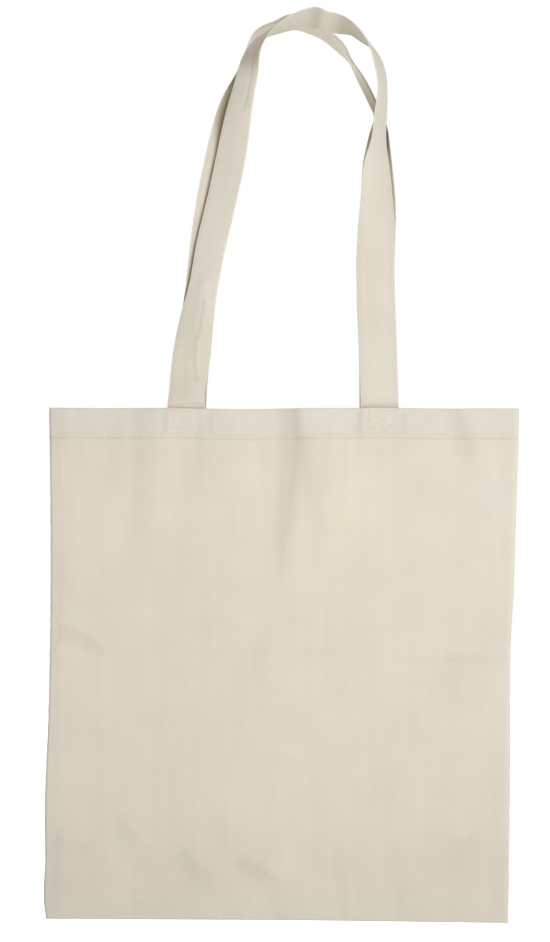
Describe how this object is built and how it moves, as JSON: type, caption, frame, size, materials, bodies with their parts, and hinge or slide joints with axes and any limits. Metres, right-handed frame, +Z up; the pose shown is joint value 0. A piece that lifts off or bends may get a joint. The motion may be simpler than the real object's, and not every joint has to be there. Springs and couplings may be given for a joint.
{
  "type": "canvas tote bag",
  "caption": "Flat natural canvas tote bag with a hemmed open mouth and two long flat handles that flop over the hem.",
  "frame": {"origin": "the point that the bag hangs from, just under the crown of its two handles", "axes": "+Z up, the front of the bag faces -Y, +X to the right seen from the front"},
  "size_m": [0.38, 0.0653, 0.7395],
  "materials": {
    "canvas": "natural unbleached cotton plain weave, matt",
    "strap": "the same cotton folded in four, matt",
    "thread": "cream sewing thread, slightly lustrous",
    "overlock": "cream overlock thread",
    "label": "blank white satin tape"
  },
  "bodies": {
    "bag_back": {"back_panel": "canvas", "back_hem_fold": "canvas", "left_seam_allowance": "canvas", "right_seam_allowance": "canvas", "bottom_seam_allowance": "canvas", "left_seam_thread": "thread", "right_seam_thread": "thread", "bottom_seam_thread": "thread", "left_seam_overlock": "overlock", "right_seam_overlock": "overlock", "bottom_seam_overlock": "overlock", "care_label": "label", "back_hem_top_thread": "thread", "back_hem_bobbin_thread": "thread", "back_left_strap_end": "strap", "back_right_strap_end": "strap", "back_left_box_stitch": "thread", "back_right_box_stitch": "thread"},
    "bag_front": {"front_panel": "canvas", "front_hem_fold": "canvas", "front_hem_top_thread": "thread", "front_hem_bobbin_thread": "thread", "front_left_strap_end": "strap", "front_right_strap_end": "strap", "front_left_box_stitch": "thread", "front_right_box_stitch": "thread"},
    "front_handle": {"front_handle_strap": "strap", "front_handle_edge_stitches": "thread"},
    "back_handle": {"back_handle_strap": "strap", "back_handle_edge_stitches": "thread"}
  },
  "joints": [
    {"name": "mouth_open", "type": "hinge", "parent": "bag_back", "child": "bag_front", "pos_m": [-0.014, 0, -0.725], "axis": [1, 0, 0], "range_deg": [0, 6]},
    {"name": "front_handle_swing", "type": "hinge", "parent": "bag_front", "child": "front_handle", "pos_m": [-0.014, -0.016, -0.309], "axis": [1, 0, 0], "range_deg": [0, 165]},
    {"name": "back_handle_swing", "type": "hinge", "parent": "bag_back", "child": "back_handle", "pos_m": [-0.014, 0.016, -0.309], "axis": [1, 0, 0], "range_deg": [-165, 0]}
  ]
}
